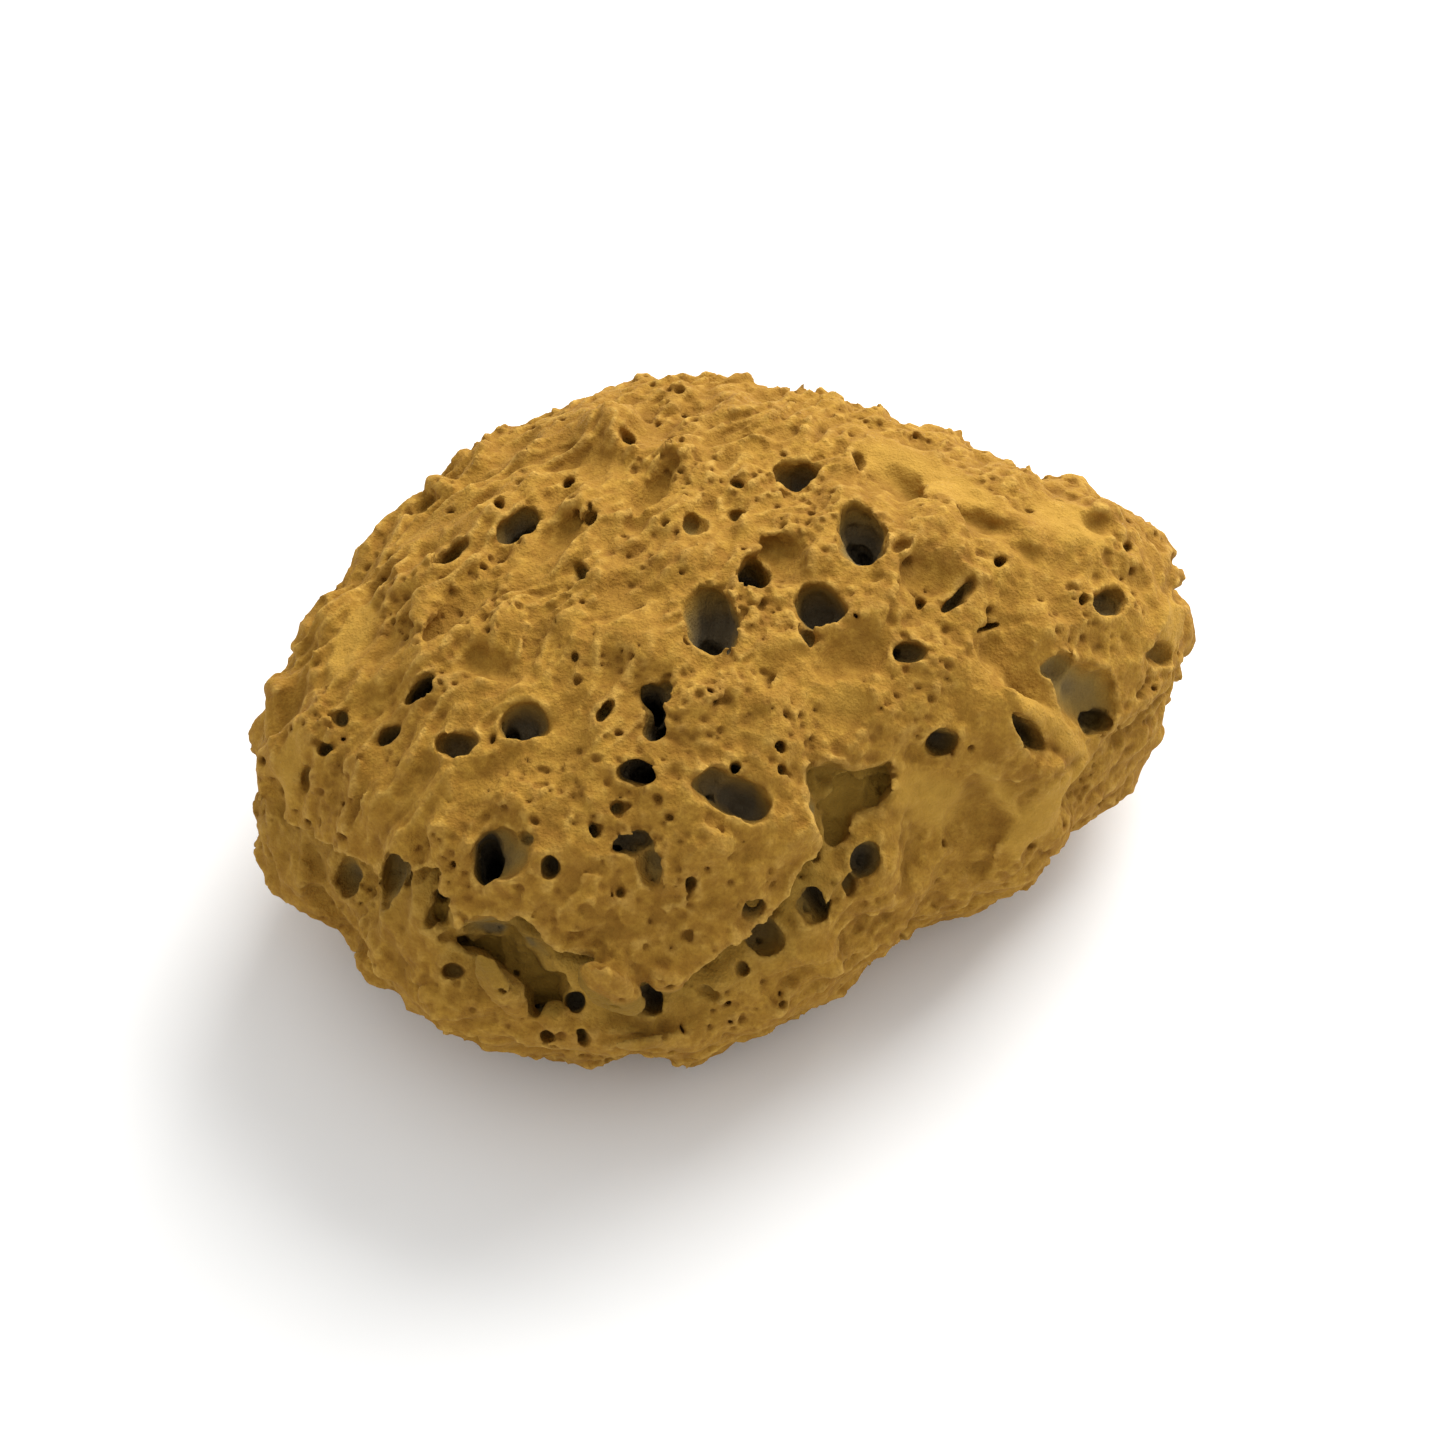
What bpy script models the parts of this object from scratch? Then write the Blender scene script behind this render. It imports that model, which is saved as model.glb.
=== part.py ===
"""A dried sea sponge: one rounded, pitted body, cut flat underneath where it stood on its rock.

The body is swollen from a fine ball, its pits are carved out with stretched balls, and the result
is thinned to a few thousand faces. Everything is in millimetres until the mesh is made; the origin
is on the flat cut, +Z is up, and the long way of the sponge runs along X.
"""

import math
import random

import bmesh
import bpy
from mathutils import Matrix, Vector, noise
from mathutils.bvhtree import BVHTree

MM = 0.001

# The body: its widest level, how far it rises above that level, and how far it would reach below.
WIDEST_LEVEL = 26.0
CROWN_RISE = 40.0
BELLY_DROP = 30.0
FULLNESS = 2.4
CUT_ALLOWANCE = 2.0
BALL_SUBDIVISIONS = 7

# The outline at the widest level, as bearing in degrees from +X and reach from the middle.
OUTLINE = (
    (0, 67.5), (10, 75.5), (22, 80.5), (30, 75), (38, 68), (45, 66), (55, 64), (66, 63.5),
    (78, 62), (90, 63.5), (105, 66.5), (118, 64.5), (128, 63.5), (136, 63.5), (144, 65),
    (154, 64.5), (165, 65.5), (174, 68), (184, 72.5), (195, 74.5), (210, 68.5), (222, 68),
    (232, 66.5), (240, 65), (250, 59), (262, 56.5), (272, 53.5), (285, 50.5), (295, 46),
    (305, 44.5), (315, 44), (325, 46.5), (338, 55), (348, 57.5),
)

# The crust ends in a ledge that overhangs the wall below it: bearing and height of its edge.
LEDGE = (
    (0, 33), (20, 24), (50, 27), (85, 33), (120, 30), (150, 27), (180, 31), (205, 36), (218, 42),
    (226, 48), (233, 43), (240, 45), (247, 41), (257, 37), (267, 37), (273, 40), (284, 44),
    (292, 48), (305, 50), (320, 46), (340, 40),
)
LEDGE_UNDERCUT = (
    (0, 2), (30, 1), (90, 1.2), (150, 1), (190, 1.6), (215, 3.2), (235, 5), (275, 5), (300, 4.6),
    (330, 3),
)
LEDGE_LIP = 1.6
LEDGE_FADE = 17.0
LEDGE_WAVER = 7.0

# Relief of the whole skin: size of the waves, and how far they stand out. The folds are long
# ridges that all run the same way, at this bearing.
SWELLS = (24.0, 2.2)
KNOBS = (8.0, 2.4)
FOLDS = (7.5, 2.6)
FOLD_BEARING = 58.0
FOLD_LENGTH = 3.0
RELIEF_SINK = 0.6

# The sponge is described from one side: looking down on it from the front, at this angle and
# distance. "Across" and "up" are read on a plane through the middle, square to that line.
LOOK_DOWN = 50.0
LOOK_FROM = 531.0
LOOK_AT = Vector((0.0, 0.0, 30.0))

# Pits: across, up, width, height, turn in degrees, depth. A canal is a narrow, deeper pit.
PITS = {
    "low left mouth": (-34.5, -21, 10, 9.5, 0, 5.5),
    "low left canal": (-36.5, -21, 5, 9, 0, 18),
    "centre egg": (-1.5, 16, 8.5, 10.5, -5, 9),
    "centre egg floor": (-2.5, 13.5, 6, 5, 0, 13),
    "upper centre mouth": (8, 24.5, 9, 7, 15, 4.5),
    "upper centre canal": (6, 23.5, 6, 6, 0, 15),
    "upper right": (22, 30, 8, 8.5, 0, 9),
    "upper right canal": (22, 28, 6, 4.5, -20, 15),
    "right of centre": (15.5, 18, 7.5, 7, 0, 9),
    "right of centre tail": (14, 13.5, 3, 4, 0, 5),
    "top right": (12, 38, 8, 5, 25, 7),
    "top triangle": (-4, 31, 4.5, 4.5, 0, 4),
    "left crescent": (-32.5, 31, 9, 5.5, 28, 5),
    "left crescent canal": (-31.5, 30, 7.5, 3.5, 28, 13),
    "left slit": (-42, 27, 6.5, 2.5, 27, 8),
    "left deep slit": (-48, 5, 7, 3, 52, 11),
    "left low slit": (-52, -2, 5, 3, 38, 8),
    "left bowl": (-41.5, -3.5, 7, 5, 5, 7),
    "left of centre": (-30.5, -0.5, 8, 6.5, 20, 7),
    "left of centre canal": (-32.5, -1, 4, 4.5, 0, 12),
    "chimney top": (-11, 3.5, 4.5, 4.5, 0, 15),
    "chimney foot": (-10.5, -0.5, 4, 6, 0, 18),
    "black crescent": (-13, -8, 5.5, 4, -20, 13),
    "grey hall": (3, -12, 10.5, 7, -15, 8),
    "grey hall left": (-1, -10, 6, 5.5, 0, 6),
    "low centre arm": (-13.5, -19.5, 8, 4, 5, 6),
    "low centre stem": (-11, -23, 4, 7.5, 5, 5),
    "right round": (29.5, 11, 6, 4.5, 0, 7),
    "right heart": (35, -3.5, 5.5, 4.5, 0, 8),
    "right slit": (48.5, -2.5, 7.5, 3, -62, 10),
    "right hall": (58, 4, 11.5, 12, -30, 9),
    "right hall floor": (59, -0.5, 6, 4.5, 10, 13),
    "right hall side": (53, 8, 5.5, 5.5, 0, 6),
    "far right": (61, 19, 5.5, 5, 0, 6),
    "far right low": (69, 10.5, 5, 5, 0, 4),
    "right cleft": (37.5, 19.5, 9, 2.5, 57, 7),
    "square pit": (23, -22, 5.5, 5.5, 0, 8),
    "tall right": (14.5, -29, 7, 4, -70, 10),
    "low hall": (6.5, -33, 9.5, 6, -60, 5),
    "low hall canal": (5, -30, 4.5, 3, 40, 9),
    "low left bowl": (-51.5, -25, 5, 7, -10, 7),
    "wall bowl": (-59, -25, 5, 7, -15, 5),
    "under the ledge": (-36, -33, 9.5, 4.5, 5, 7),
    "under the ledge right": (-29.5, -36, 9.5, 4, -30, 4),
    "under the flap": (-11, -43, 4, 5.5, 0, 7),
    "wall hole": (-22.5, -44, 4, 4, 0, 5),
    "top dish": (-10, 45.5, 9.5, 4, 8, 3),
    "top left dish": (-18.5, 40, 7, 4, 15, 3),
    "centre left dish": (-15.5, 21.5, 7, 4, 55, 3),
    "top groove": (-10, 36.5, 9.5, 2.5, 58, 4),
    "cove": (18.5, -11.5, 12, 9.5, -20, 5),
    "cove side": (17.5, -16, 9, 4, -70, 6),
    "basin upper": (34.5, -10, 9.5, 5.5, 0, 3.5),
    "basin lower": (39.5, -16.5, 9.5, 7.5, 0, 3.5),
    "left wall groove": (-64, -22.5, 8, 2.5, -72, 4),
    "left wall slot": (-70, -12, 6.5, 2.5, -75, 3.5),
    "left wall hollow": (-57.5, -34, 7, 3, -35, 3.5),
    "left groove": (-46.5, -8, 5.5, 3, 60, 3),
    "shoulder dish": (-47.5, 31, 9.5, 4, 25, 3),
    "left dish": (-35.5, 9, 7, 4, -10, 3),
    "back facet fold": (27.5, 37.5, 12, 3.5, -38, 3),
    "cleft basin": (34, 22, 11.5, 7, -10, 3),
    "smooth hollow": (19, 3, 7, 10, -20, 2.5),
}

# Bites out of the right end: across, up, how far behind the plane, width, height, turn, reach.
BITES = {
    "upper bite": (70.5, 24.5, 8, 4, 2.2, 0, 9),
    "lower bite": (72, 19.5, 8, 4, 5, 0, 9),
}

# Knobs and tongues that stand out: across, up, width, height, turn, rise.
PROUD = {
    "left knob": (-70.5, 4.5, 4, 5, 0, 3),
    "upper left knob": (-63, 13.5, 5, 4, 0, 3),
    "shoulder knob": (-43.5, 36.5, 6, 4, 0, 3),
    "tongue": (-34.5, -42, 5, 12, 35, 2.2),
    "small tongue": (-24.5, -46.5, 4, 6, 30, 2),
    "flap": (-17, -42.5, 7, 5, -30, 2.4),
    "right ridge": (51, -1, 4, 17, 50, 1.6),
    "right end knob": (71, 14, 5, 5, 0, 3),
}

# Pits of the sides that the first view doesn't reach, strewn with a fixed seed.
STREWN_SEED = 11
STREWN_COUNT = 74
STREWN_WIDTH = (3.6, 9.5)
STREWN_CLEAR = 2.6
STREWN_TRIES = 4000
BASE_CLEAR = 12.0

# Ragged edges of the pits and knobs: size of the waves, and how far they push.
RAGGED = (3.5, 1.3)

# How far a pit leans from the sight line towards the skin's own inward direction.
LEAN_INWARD = 0.5
GRAZING = 0.5

VOXEL = 0.9
FACES = 9600
SPONGE_COLOUR = (0.33, 0.18, 0.035, 1.0)
SPONGE_ROUGHNESS = 0.95


def clear_scene():
    for thing in list(bpy.data.objects):
        bpy.data.objects.remove(thing, do_unlink=True)


def smooth_step(value):
    value = min(max(value, 0.0), 1.0)
    return value * value * (3.0 - 2.0 * value)


def along(table, bearing):
    """Reads a closed table of (bearing, value) at any bearing, with a smooth curve between rows."""
    count = len(table)
    bearing %= 360.0
    index = max((i for i in range(count) if table[i][0] <= bearing), default=count - 1)
    rows = [table[(index + step) % count] for step in (-1, 0, 1, 2)]
    gaps = [(rows[i + 1][0] - rows[i][0]) % 360.0 for i in range(3)]
    values = [row[1] for row in rows]
    part = ((bearing - rows[1][0]) % 360.0) / gaps[1]
    slope_in = (values[2] - values[0]) / (gaps[0] + gaps[1]) * gaps[1]
    slope_out = (values[3] - values[1]) / (gaps[1] + gaps[2]) * gaps[1]
    rest = 1.0 - part
    return (
        (1.0 + 2.0 * part) * rest * rest * values[1]
        + part * rest * rest * slope_in
        + part * part * (3.0 - 2.0 * part) * values[2]
        - part * part * rest * slope_out
    )


def waves(point, size):
    """Soft random waves between about -1 and 1, as wide as size."""
    return noise.noise(point / size)


def push(point, size):
    """A soft random push, the same for the same point."""
    shifts = (Vector((0.0, 0.0, 0.0)), Vector((53.0, 17.0, 5.0)), Vector((11.0, 71.0, 29.0)))
    return Vector([waves(point + shift, size) for shift in shifts])


def ledge_setback(bearing, height, point):
    """How far the wall under the crust's ledge stands back."""
    edge = along(LEDGE, bearing) + LEDGE_WAVER * waves(point, 6.0)
    below = edge - height
    bite = smooth_step(below / LEDGE_LIP)
    fade = 1.0 - smooth_step((below - LEDGE_LIP) / LEDGE_FADE)
    return along(LEDGE_UNDERCUT, bearing) * bite * fade


def fold_height(point):
    """Ridges about FOLDS[0] apart and FOLD_LENGTH times as long."""
    turn = math.radians(FOLD_BEARING)
    lengthwise = point.x * math.cos(turn) + point.y * math.sin(turn)
    across = point.y * math.cos(turn) - point.x * math.sin(turn)
    spot = Vector((lengthwise / FOLD_LENGTH + 31.0, across + 7.0, point.z))
    return 0.25 - abs(waves(spot, FOLDS[0]))


def skin_point(direction):
    """The skin of the sponge in one direction from its middle."""
    bearing = math.degrees(math.atan2(direction.y, direction.x))
    level = math.hypot(direction.x, direction.y)
    rise = CROWN_RISE if direction.z > 0.0 else BELLY_DROP
    reach = (
        (level / along(OUTLINE, bearing)) ** FULLNESS + (abs(direction.z) / rise) ** FULLNESS
    ) ** (-1.0 / FULLNESS)
    point = direction * reach
    relief = SWELLS[1] * waves(point, SWELLS[0]) + KNOBS[1] * waves(point, KNOBS[0])
    relief += FOLDS[1] * fold_height(point) - RELIEF_SINK
    relief -= ledge_setback(bearing, point.z + WIDEST_LEVEL, point)
    point += direction * relief
    point.z = max(point.z + WIDEST_LEVEL, -CUT_ALLOWANCE)
    return point


def make_body():
    """A fine ball whose points are moved to the sponge's skin."""
    bpy.ops.mesh.primitive_ico_sphere_add(subdivisions=BALL_SUBDIVISIONS, radius=1.0)
    body = bpy.context.object
    body.name = "sponge"
    for vertex in body.data.vertices:
        vertex.co = skin_point(vertex.co.normalized()) * MM
    return body


def look_frame():
    """The eye of the first view, with its right, up and forward directions."""
    down = math.radians(LOOK_DOWN)
    forward = Vector((0.0, math.cos(down), -math.sin(down)))
    right = Vector((1.0, 0.0, 0.0))
    return LOOK_AT - forward * LOOK_FROM, right, right.cross(forward), forward


def sight_line(across, up):
    eye, right, upward, forward = look_frame()
    target = LOOK_AT + right * across + upward * up
    return eye, (target - eye).normalized(), target


def turned(first, second, turn):
    angle = math.radians(turn)
    return (
        first * math.cos(angle) + second * math.sin(angle),
        second * math.cos(angle) - first * math.sin(angle),
    )


def stretched_ball(centre, wide, tall, deep):
    """Columns of a matrix that stretches a ball of radius 1 along three half sizes."""
    matrix = Matrix.Identity(4)
    for column, axis in enumerate((wide, tall, deep)):
        for row in range(3):
            matrix[row][column] = axis[row]
    for row in range(3):
        matrix[row][3] = centre[row]
    return matrix


def pit_on_skin(tree, across, up, width, height, turn, depth):
    """A pit whose mouth shows the given width and height when it is seen in the first view."""
    eye, sight, _ = sight_line(across, up)
    place, normal, _, _ = tree.ray_cast(eye, sight)
    if place is None:
        return None
    _, right, upward, _ = look_frame()
    facing = min(sight.dot(normal), -GRAZING)
    first, second = turned(right, upward, turn)
    first -= sight * (first.dot(normal) / facing)
    second -= sight * (second.dot(normal) / facing)
    inward = (sight * (1.0 - LEAN_INWARD) - normal * LEAN_INWARD).normalized()
    return stretched_ball(place, first * (width / 2), second * (height / 2), inward * depth)


def bite_at(across, up, behind, width, height, turn, reach):
    """A ball on a sight line, stretched along it, for the notches in the right end."""
    _, sight, target = sight_line(across, up)
    _, right, upward, _ = look_frame()
    first, second = turned(right, upward, turn)
    centre = target + sight * behind
    return stretched_ball(centre, first * (width / 2), second * (height / 2), sight * reach)


def seen_first(place, normal):
    eye = look_frame()[0]
    return normal.dot((eye - place).normalized()) > 0.25


def strewn_pits(tree):
    """Pits on the hidden sides, kept apart from each other and from the middle of the base."""
    chance = random.Random(STREWN_SEED)
    middle = Vector((0.0, 0.0, WIDEST_LEVEL))
    kept = []
    matrices = []
    for _ in range(STREWN_TRIES):
        direction = Vector((chance.gauss(0, 1), chance.gauss(0, 1), chance.gauss(0, 1))).normalized()
        width = chance.uniform(*STREWN_WIDTH)
        squash = chance.uniform(0.6, 1.0)
        turn = chance.uniform(0.0, 180.0)
        depth = width * chance.uniform(0.7, 1.5)
        lean = Vector((chance.uniform(-1, 1), chance.uniform(-1, 1), chance.uniform(-1, 1))) * 0.35
        place, normal, _, _ = tree.ray_cast(middle + direction * 200.0, -direction)
        if seen_first(place, normal):
            continue
        on_base = place.z < 1.0
        if on_base and math.hypot(place.x, place.y) < BASE_CLEAR:
            continue
        near = any((place - other).length < (width + wide) / 2 + STREWN_CLEAR for other, wide in kept)
        if near:
            continue
        kept.append((place, width))
        first = normal.orthogonal().normalized()
        second = normal.cross(first)
        first, second = turned(first, second, turn)
        inward = (lean - normal).normalized()
        half = width / 2
        matrices.append(stretched_ball(place, first * half, second * half * squash, inward * depth))
        if len(kept) == STREWN_COUNT:
            break
    return matrices


def balls_object(name, matrices, subdivisions):
    """One hidden mesh of stretched balls, used only to carve or to add."""
    mesh = bpy.data.meshes.new(name)
    shape = bmesh.new()
    for matrix in matrices:
        made = bmesh.ops.create_icosphere(shape, subdivisions=subdivisions, radius=1.0)
        bmesh.ops.transform(shape, matrix=matrix, verts=made["verts"])
        for vertex in made["verts"]:
            vertex.co += push(vertex.co, RAGGED[0]) * RAGGED[1]
        if matrix.determinant() < 0.0:
            faces = {face for vertex in made["verts"] for face in vertex.link_faces}
            bmesh.ops.reverse_faces(shape, faces=list(faces))
    bmesh.ops.scale(shape, vec=(MM, MM, MM), verts=shape.verts)
    shape.to_mesh(mesh)
    shape.free()
    thing = bpy.data.objects.new(name, mesh)
    thing.hide_render = True
    thing.display_type = "WIRE"
    bpy.context.collection.objects.link(thing)
    merge = thing.modifiers.new("merge the balls", "REMESH")
    merge.mode = "VOXEL"
    merge.voxel_size = 0.5 * MM
    return thing


def ground_block():
    """The rock side of the cut: everything below the origin's level goes."""
    size = 0.3
    bpy.ops.mesh.primitive_cube_add(size=size, location=(0.0, 0.0, -size / 2))
    block = bpy.context.object
    block.name = "ground_block"
    block.hide_render = True
    block.display_type = "WIRE"
    return block


def add_boolean(thing, name, operation, other):
    step = thing.modifiers.new(name, "BOOLEAN")
    step.operation = operation
    step.solver = "EXACT"
    step.object = other


def settle(thing):
    """Puts the object's modifiers into its mesh."""
    graph = bpy.context.evaluated_depsgraph_get()
    made = bpy.data.meshes.new_from_object(thing.evaluated_get(graph))
    thing.modifiers.clear()
    thing.data = made
    return len(made.polygons)


def keep_largest(thing):
    """Drops crumbs that the pits cut loose, and leaves triangles that face outwards."""
    shape = bmesh.new()
    shape.from_mesh(thing.data)
    left = set(shape.verts)
    groups = []
    while left:
        stack = [left.pop()]
        group = list(stack)
        while stack:
            for edge in stack.pop().link_edges:
                for vertex in edge.verts:
                    if vertex in left:
                        left.remove(vertex)
                        stack.append(vertex)
                        group.append(vertex)
        groups.append(group)
    groups.sort(key=len)
    for group in groups[:-1]:
        bmesh.ops.delete(shape, geom=group, context="VERTS")
    bmesh.ops.triangulate(shape, faces=shape.faces)
    bmesh.ops.recalc_face_normals(shape, faces=shape.faces)
    shape.to_mesh(thing.data)
    shape.free()


def sponge_material():
    material = bpy.data.materials.new("dried sponge")
    material.use_nodes = True
    shader = material.node_tree.nodes["Principled BSDF"]
    shader.inputs["Base Color"].default_value = SPONGE_COLOUR
    shader.inputs["Roughness"].default_value = SPONGE_ROUGHNESS
    shader.inputs["Metallic"].default_value = 0.0
    return material


def make_sponge():
    body = make_body()
    corners = [vertex.co / MM for vertex in body.data.vertices]
    faces = [tuple(face.vertices) for face in body.data.polygons]
    tree = BVHTree.FromPolygons(corners, faces)

    carved = [pit_on_skin(tree, *pit) for pit in PITS.values()]
    carved = [matrix for matrix in carved if matrix is not None]
    carved += [bite_at(*bite) for bite in BITES.values()]
    carved += strewn_pits(tree)
    raised = [pit_on_skin(tree, *knob) for knob in PROUD.values()]
    raised = [matrix for matrix in raised if matrix is not None]
    print("pits", len(carved), "knobs", len(raised))

    add_boolean(body, "knobs and tongues", "UNION", balls_object("knob_shapes", raised, 3))
    add_boolean(body, "pits", "DIFFERENCE", balls_object("pit_shapes", carved, 3))
    settle(body)

    even = body.modifiers.new("even faces", "REMESH")
    even.mode = "VOXEL"
    even.voxel_size = VOXEL * MM
    quads = settle(body)

    thin = body.modifiers.new("fewer faces", "DECIMATE")
    thin.ratio = FACES / (2 * quads)
    add_boolean(body, "flat cut", "DIFFERENCE", ground_block())
    settle(body)
    keep_largest(body)
    body.data.materials.clear()
    body.data.materials.append(sponge_material())
    print("triangles", len(body.data.polygons))
    return body


clear_scene()
make_sponge()
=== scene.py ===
# %% [markdown]
# # A dried sea sponge
# What we build is the dried skeleton of a sea animal: one loaf of fine felted fibres, riddled with
# canals, with a torn ledge along one side and a flat cut where it was taken off its rock.
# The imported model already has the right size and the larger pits, but only a few thousand faces.
# Here the same sponge is made again with its thin lips, ragged edges and thousands of pores, and
# it takes the plain solid's place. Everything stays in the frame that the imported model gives.

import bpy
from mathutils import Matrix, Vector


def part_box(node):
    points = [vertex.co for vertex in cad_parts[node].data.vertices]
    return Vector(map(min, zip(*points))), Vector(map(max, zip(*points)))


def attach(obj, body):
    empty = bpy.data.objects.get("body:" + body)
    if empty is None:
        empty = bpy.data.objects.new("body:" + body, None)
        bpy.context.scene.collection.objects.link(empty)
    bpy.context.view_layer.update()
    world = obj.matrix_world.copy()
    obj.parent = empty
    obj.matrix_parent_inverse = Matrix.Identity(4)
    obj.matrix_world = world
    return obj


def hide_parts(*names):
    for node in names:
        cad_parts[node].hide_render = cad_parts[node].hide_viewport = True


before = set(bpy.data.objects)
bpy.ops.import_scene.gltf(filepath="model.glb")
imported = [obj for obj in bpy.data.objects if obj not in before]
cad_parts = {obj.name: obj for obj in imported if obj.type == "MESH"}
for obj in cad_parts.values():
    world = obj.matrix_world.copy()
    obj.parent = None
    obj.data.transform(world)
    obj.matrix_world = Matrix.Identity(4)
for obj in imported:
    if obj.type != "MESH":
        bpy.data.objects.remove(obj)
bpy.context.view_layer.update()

# %% [markdown]
# ## Tools
# The sponge is carved as a volume and not pushed about as a surface, because a surface can't grow
# holes. numpy holds the volume as a plain block of numbers, and openvdb, which comes with Blender,
# turns a mesh into such a block and the block back into a mesh. Lengths are millimetres until the
# mesh is made, so that the numbers can be read like those on a ruler.

# %% Tools
import math
import random

import bpy
import numpy as np
import openvdb
from mathutils import Vector, noise
from mathutils.bvhtree import BVHTree

MM = 0.001

# %% [markdown]
# ## Camera
# The sponge is seen from the front, 50 degrees above the table. The holes are described as they
# are seen from there, in millimetres across and up on a plane through the middle of the sponge,
# so the camera comes first and its own right, up and forward directions are kept.

# %% Point the camera
LOOK_DOWN = 50.0
LOOK_FROM = 531.0
LOOK_AT = Vector((0.0, 0.0, 30.0))
LENS = 85.0

down = math.radians(LOOK_DOWN)
forward = Vector((0.0, math.cos(down), -math.sin(down)))
right = Vector((1.0, 0.0, 0.0))
upward = right.cross(forward)
eye = LOOK_AT - forward * LOOK_FROM

camera = bpy.data.objects.new("camera", bpy.data.cameras.new("camera"))
camera.data.lens = LENS
camera.location = eye * MM
camera.rotation_euler = forward.to_track_quat("-Z", "Y").to_euler()
bpy.context.scene.collection.objects.link(camera)
bpy.context.scene.camera = camera
print("camera at", [round(value, 3) for value in camera.location])

# %% [markdown]
# ## The body
# The loaf is a fine ball whose points are moved outwards. Its plan is a closed list of bearings
# and reaches, read with a smooth curve; its height follows a rounded box rule, which gives a
# fuller shoulder than an ellipse would. Soft noise adds swellings, knobs and long folds.
# A sculpted mesh would do too, but a formula can be changed and gives the same sponge each time.

# %% Read a closed table with a smooth curve
OUTLINE = (
    (0, 67.5), (10, 75.5), (22, 80.5), (30, 75), (38, 68), (45, 66), (55, 64), (66, 63.5),
    (78, 62), (90, 63.5), (105, 66.5), (118, 64.5), (128, 63.5), (136, 63.5), (144, 65),
    (154, 64.5), (165, 65.5), (174, 68), (184, 72.5), (195, 74.5), (210, 68.5), (222, 68),
    (232, 66.5), (240, 65), (250, 59), (262, 56.5), (272, 53.5), (285, 50.5), (295, 46),
    (305, 44.5), (315, 44), (325, 46.5), (338, 55), (348, 57.5),
)


def along(table, bearing):
    """Values between the rows of a closed table of (bearing, value)."""
    places, values = np.array(table, dtype=float).T
    bearing = np.asarray(bearing) % 360.0
    index = np.searchsorted(places, bearing, side="right") - 1
    rows = [(index + step) % len(places) for step in (-1, 0, 1, 2)]
    gaps = [(places[after] - places[before]) % 360.0 for before, after in zip(rows, rows[1:])]
    read = [values[row] for row in rows]
    part = ((bearing - places[rows[1]]) % 360.0) / gaps[1]
    slope_in = (read[2] - read[0]) / (gaps[0] + gaps[1]) * gaps[1]
    slope_out = (read[3] - read[1]) / (gaps[1] + gaps[2]) * gaps[1]
    rest = 1.0 - part
    return (
        (1.0 + 2.0 * part) * rest**2 * read[1]
        + part * rest**2 * slope_in
        + part**2 * (3.0 - 2.0 * part) * read[2]
        - part**2 * rest * slope_out
    )


def smooth_step(value):
    value = np.clip(value, 0.0, 1.0)
    return value * value * (3.0 - 2.0 * value)


print("reach at the front:", round(float(along(OUTLINE, 270)), 1), "mm")

# %% [markdown]
# The crust ends at the front in a ledge that overhangs an older, rougher wall. It is given as the
# height of its edge at each bearing, and how far the wall below stands back.

# %% Shape the skin of the body
WIDEST_LEVEL = 26.0
CROWN_RISE = 40.0
BELLY_DROP = 30.0
FULLNESS = 2.4
CUT_ALLOWANCE = 2.0
SWELLS = (24.0, 2.2)
KNOBS = (8.0, 2.4)
FOLDS = (7.5, 2.6)
FOLD_BEARING = 58.0
FOLD_LENGTH = 3.0
RELIEF_SINK = 0.6
LEDGE = (
    (0, 33), (20, 24), (50, 27), (85, 33), (120, 30), (150, 27), (180, 31), (205, 36), (218, 42),
    (226, 48), (233, 43), (240, 45), (247, 41), (257, 37), (267, 37), (273, 40), (284, 44),
    (292, 48), (305, 50), (320, 46), (340, 40),
)
LEDGE_UNDERCUT = (
    (0, 0.6), (30, 0.6), (90, 1), (150, 0.8), (190, 1.2), (215, 1.8), (228, 2.6), (237, 4.5),
    (250, 6.5), (265, 7), (276, 6), (287, 4.5), (297, 2.2), (310, 1), (335, 0.6),
)
LEDGE_LIP = 1.6
LEDGE_FADE = 17.0
LEDGE_WAVER = 7.0


def waves(points, size):
    """Soft random waves between about -1 and 1 at each point."""
    return np.array([noise.noise(Vector(point)) for point in points / size])


def fold_height(points):
    """Long ridges that all run the same way."""
    turn = math.radians(FOLD_BEARING)
    x, y, z = points.T
    lengthwise = x * math.cos(turn) + y * math.sin(turn)
    across = y * math.cos(turn) - x * math.sin(turn)
    spots = np.column_stack((lengthwise / FOLD_LENGTH + 31.0, across + 7.0, z))
    return 0.25 - np.abs(waves(spots, FOLDS[0]))


def ledge_setback(bearing, below):
    """How far the wall stands back at this distance below the ledge's edge."""
    bite = smooth_step(below / LEDGE_LIP)
    fade = 1.0 - smooth_step((below - LEDGE_LIP) / LEDGE_FADE)
    return along(LEDGE_UNDERCUT, bearing) * bite * fade


def skin_points(directions, with_ledge):
    """The skin of the sponge in each direction from its middle."""
    x, y, z = directions.T
    bearing = np.degrees(np.arctan2(y, x))
    rise = np.where(z > 0.0, CROWN_RISE, BELLY_DROP)
    flat = (np.hypot(x, y) / along(OUTLINE, bearing)) ** FULLNESS
    reach = (flat + (np.abs(z) / rise) ** FULLNESS) ** (-1.0 / FULLNESS)
    points = directions * reach[:, None]
    relief = SWELLS[1] * waves(points, SWELLS[0]) + KNOBS[1] * waves(points, KNOBS[0])
    relief += FOLDS[1] * fold_height(points) - RELIEF_SINK
    if with_ledge:
        edge = along(LEDGE, bearing) + LEDGE_WAVER * waves(points, 6.0)
        relief -= ledge_setback(bearing, edge - (points[:, 2] + WIDEST_LEVEL))
    points += directions * relief[:, None]
    points[:, 2] = np.maximum(points[:, 2] + WIDEST_LEVEL, -CUT_ALLOWANCE)
    return points


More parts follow.
